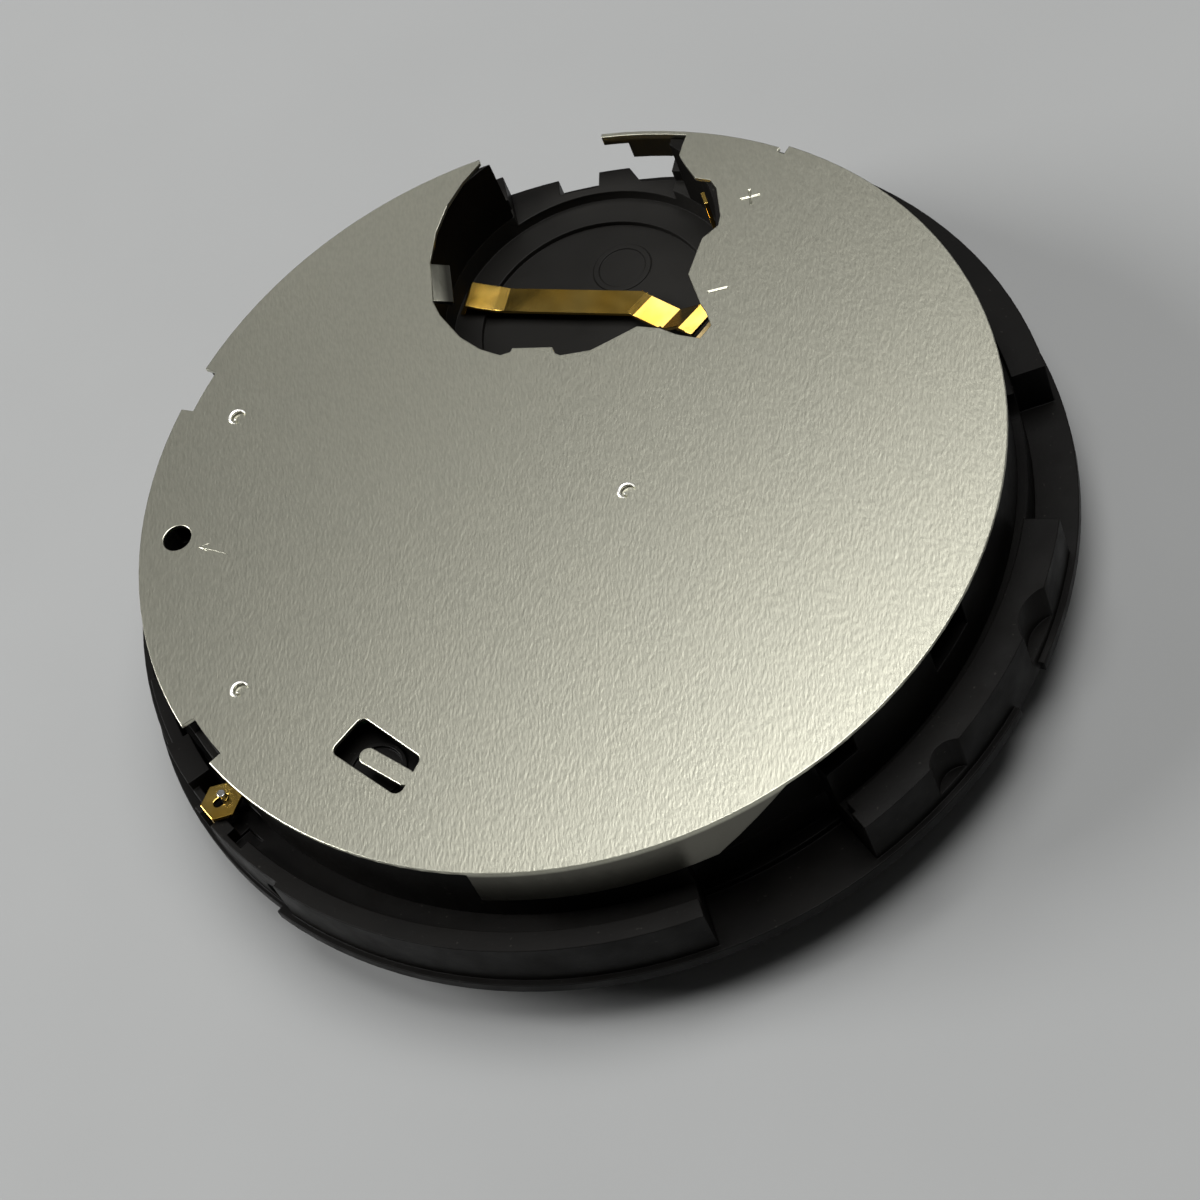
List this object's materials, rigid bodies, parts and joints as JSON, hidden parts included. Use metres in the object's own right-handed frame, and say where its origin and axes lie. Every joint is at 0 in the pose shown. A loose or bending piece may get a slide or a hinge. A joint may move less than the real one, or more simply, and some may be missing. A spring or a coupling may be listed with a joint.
{
  "type": "quartz chronograph watch movement",
  "caption": "Round quartz chronograph watch movement with an open battery bay, stepping motors, gear trains, date ring and spring contacts.",
  "frame": {"origin": "the axis of the centre hands, on the plane that the dial rests on", "axes": "+Z towards the cover plate, +Y towards 12 o'clock (the battery bay), and the winding stem leaves along -X"},
  "size_m": [0.0302, 0.0304, 0.0065],
  "materials": {
    "black_plastic": "moulded, dark grey-brown",
    "nickel_sheet": "matte nickel, fine straight grain",
    "board": "green laminate",
    "brass_sheet": "plain brass",
    "brass_wheel": "bright brass",
    "ruby": "polished red jewel",
    "steel": "bright steel",
    "gold_plate": "gold-plated spring strip",
    "copper_wire": "wound enamelled wire",
    "white_enamel": "satin white"
  },
  "bodies": {
    "movement": {"main_plate": "black_plastic", "module_frame": "black_plastic", "cover_plate": "nickel_sheet", "circuit_board": "board", "ic_chip": "black_plastic", "quartz_crystal": "nickel_sheet", "train_bridge": "brass_sheet", "jewels": "ruby", "bridge_screws": "steel", "coil_screws": "steel", "calendar_plate": "nickel_sheet", "calendar_screws": "steel", "keyless_cover": "steel", "battery_side_contact": "gold_plate", "switch_posts": "steel", "stator_time": "steel", "core_time": "steel", "coil_time": "copper_wire", "stator_minutes": "steel", "core_minutes": "steel", "coil_minutes": "copper_wire", "stator_tenths": "steel", "core_tenths": "steel", "coil_tenths": "copper_wire", "stator_chrono": "steel", "core_chrono": "steel", "coil_chrono": "copper_wire"},
    "seconds_drive_wheel": {"seconds_drive_wheel": "brass_wheel"},
    "small_seconds_wheel": {"small_seconds_wheel": "brass_wheel"},
    "third_wheel": {"third_wheel": "brass_wheel"},
    "cannon_pinion": {"cannon_pinion": "brass_wheel"},
    "minute_wheel": {"minute_wheel": "brass_wheel"},
    "hour_wheel": {"hour_wheel": "brass_wheel"},
    "date_driver_wheel": {"date_driver_wheel": "brass_wheel"},
    "chrono_drive_wheel": {"chrono_drive_wheel": "brass_wheel"},
    "centre_seconds_wheel": {"centre_seconds_wheel": "brass_wheel"},
    "minutes_drive_wheel": {"minutes_drive_wheel": "brass_wheel"},
    "minute_counter_wheel": {"minute_counter_wheel": "brass_wheel"},
    "tenths_drive_wheel": {"tenths_drive_wheel": "brass_wheel"},
    "tenth_counter_wheel": {"tenth_counter_wheel": "brass_wheel"},
    "rotor_time": {"rotor_time": "steel"},
    "rotor_minutes": {"rotor_minutes": "steel"},
    "rotor_tenths": {"rotor_tenths": "steel"},
    "rotor_chrono": {"rotor_chrono": "steel"},
    "date_ring": {"date_ring": "white_enamel"},
    "date_jumper": {"date_jumper": "steel"},
    "setting_lever": {"setting_lever": "steel"},
    "yoke": {"yoke": "steel"},
    "sliding_pinion": {"sliding_pinion": "steel"},
    "battery_contact_spring": {"battery_contact_spring": "gold_plate"},
    "pusher_contact_2": {"pusher_contact_2": "gold_plate"},
    "pusher_contact_4": {"pusher_contact_4": "gold_plate"}
  },
  "joints": [
    {"name": "seconds_drive_wheel_spin", "type": "hinge", "parent": "movement", "child": "seconds_drive_wheel", "pos_m": [0.00236, -0.00692, 0], "axis": [0, 0, 1], "continuous": true},
    {"name": "small_seconds_wheel_spin", "type": "hinge", "parent": "movement", "child": "small_seconds_wheel", "pos_m": [0, -0.0065, 0], "axis": [0, 0, 1], "continuous": true},
    {"name": "third_wheel_spin", "type": "hinge", "parent": "movement", "child": "third_wheel", "pos_m": [0.00038, -0.00381, 0], "axis": [0, 0, 1], "continuous": true},
    {"name": "cannon_pinion_spin", "type": "hinge", "parent": "movement", "child": "cannon_pinion", "pos_m": [0, 0, 0], "axis": [0, 0, 1], "continuous": true},
    {"name": "minute_wheel_spin", "type": "hinge", "parent": "movement", "child": "minute_wheel", "pos_m": [0.0024, 0, 0], "axis": [0, 0, 1], "continuous": true},
    {"name": "hour_wheel_spin", "type": "hinge", "parent": "movement", "child": "hour_wheel", "pos_m": [0, 0, 0], "axis": [0, 0, 1], "continuous": true},
    {"name": "date_driver_wheel_spin", "type": "hinge", "parent": "movement", "child": "date_driver_wheel", "pos_m": [-0.00499, -0.00288, 0], "axis": [0, 0, 1], "continuous": true},
    {"name": "chrono_drive_wheel_spin", "type": "hinge", "parent": "movement", "child": "chrono_drive_wheel", "pos_m": [-0.00322, -0.00197, 0], "axis": [0, 0, 1], "continuous": true},
    {"name": "centre_seconds_wheel_spin", "type": "hinge", "parent": "movement", "child": "centre_seconds_wheel", "pos_m": [0, 0, 0], "axis": [0, 0, 1], "continuous": true},
    {"name": "minutes_drive_wheel_spin", "type": "hinge", "parent": "movement", "child": "minutes_drive_wheel", "pos_m": [0.00691, 0.00122, 0], "axis": [0, 0, 1], "continuous": true},
    {"name": "minute_counter_wheel_spin", "type": "hinge", "parent": "movement", "child": "minute_counter_wheel", "pos_m": [0.00563, 0.00325, 0], "axis": [0, 0, 1], "continuous": true},
    {"name": "tenths_drive_wheel_spin", "type": "hinge", "parent": "movement", "child": "tenths_drive_wheel", "pos_m": [-0.00802, 0.00301, 0], "axis": [0, 0, 1], "continuous": true},
    {"name": "tenth_counter_wheel_spin", "type": "hinge", "parent": "movement", "child": "tenth_counter_wheel", "pos_m": [-0.00563, 0.00325, 0], "axis": [0, 0, 1], "continuous": true},
    {"name": "rotor_time_spin", "type": "hinge", "parent": "movement", "child": "rotor_time", "pos_m": [0.00418, -0.00797, 0], "axis": [0, 0, 1], "continuous": true},
    {"name": "rotor_minutes_spin", "type": "hinge", "parent": "movement", "child": "rotor_minutes", "pos_m": [0.00897, 0.00078, 0], "axis": [0, 0, 1], "continuous": true},
    {"name": "rotor_tenths_spin", "type": "hinge", "parent": "movement", "child": "rotor_tenths", "pos_m": [-0.00746, 0.00503, 0], "axis": [0, 0, 1], "continuous": true},
    {"name": "rotor_chrono_spin", "type": "hinge", "parent": "movement", "child": "rotor_chrono", "pos_m": [-0.00424, -0.00381, 0], "axis": [0, 0, 1], "continuous": true},
    {"name": "date_ring_spin", "type": "hinge", "parent": "movement", "child": "date_ring", "pos_m": [0, 0, 0], "axis": [0, 0, 1], "continuous": true},
    {"name": "date_jumper_swing", "type": "hinge", "parent": "movement", "child": "date_jumper", "pos_m": [-0.00192, -0.0091, 0.00036], "axis": [0, 0, 1], "range_deg": [0, 12], "stiffness_Nm_per_rad": 0.00001, "springref_deg": -2.86},
    {"name": "setting_lever_swing", "type": "hinge", "parent": "movement", "child": "setting_lever", "pos_m": [-0.0113, 0.0018, 0.00242], "axis": [0, 0, 1], "range_deg": [-20, 0]},
    {"name": "yoke_swing", "type": "hinge", "parent": "movement", "child": "yoke", "pos_m": [-0.01055, -0.0024, 0.00242], "axis": [0, 0, 1], "range_deg": [-12, 0]},
    {"name": "sliding_pinion_slide", "type": "slide", "parent": "movement", "child": "sliding_pinion", "axis": [1, 0, 0], "range_m": [0, 0.0005]},
    {"name": "battery_contact_flex", "type": "hinge", "parent": "movement", "child": "battery_contact_spring", "pos_m": [-0.00353, 0.01094, 0.00092], "axis": [0.3173, 0.9483, 0], "range_deg": [0, 1.5], "stiffness_Nm_per_rad": 0.001},
    {"name": "pusher_contact_2_press", "type": "slide", "parent": "movement", "child": "pusher_contact_2", "axis": [0.8443, -0.5358, 0], "range_m": [0, 0.00025], "stiffness_N_per_m": 500},
    {"name": "pusher_contact_4_press", "type": "slide", "parent": "movement", "child": "pusher_contact_4", "axis": [0.8443, 0.5358, 0], "range_m": [0, 0.00025], "stiffness_N_per_m": 500}
  ],
  "couplings": [
    {"joint": "rotor_time_spin", "follows": "seconds_drive_wheel_spin", "ratio": -6},
    {"joint": "small_seconds_wheel_spin", "follows": "seconds_drive_wheel_spin", "ratio": -0.2},
    {"joint": "third_wheel_spin", "follows": "seconds_drive_wheel_spin", "ratio": 0.026667},
    {"joint": "cannon_pinion_spin", "follows": "seconds_drive_wheel_spin", "ratio": -0.0033333},
    {"joint": "minute_wheel_spin", "follows": "seconds_drive_wheel_spin", "ratio": 0.0011111},
    {"joint": "hour_wheel_spin", "follows": "seconds_drive_wheel_spin", "ratio": -0.00027778},
    {"joint": "date_driver_wheel_spin", "follows": "seconds_drive_wheel_spin", "ratio": 0.00013889},
    {"joint": "rotor_chrono_spin", "follows": "chrono_drive_wheel_spin", "ratio": -6},
    {"joint": "centre_seconds_wheel_spin", "follows": "chrono_drive_wheel_spin", "ratio": -0.2},
    {"joint": "rotor_minutes_spin", "follows": "minutes_drive_wheel_spin", "ratio": -6},
    {"joint": "minute_counter_wheel_spin", "follows": "minutes_drive_wheel_spin", "ratio": -0.2},
    {"joint": "rotor_tenths_spin", "follows": "tenths_drive_wheel_spin", "ratio": -6},
    {"joint": "tenth_counter_wheel_spin", "follows": "tenths_drive_wheel_spin", "ratio": -0.2},
    {"joint": "setting_lever_swing", "follows": "sliding_pinion_slide", "rad_per_m": -697},
    {"joint": "yoke_swing", "follows": "sliding_pinion_slide", "rad_per_m": -416}
  ]
}
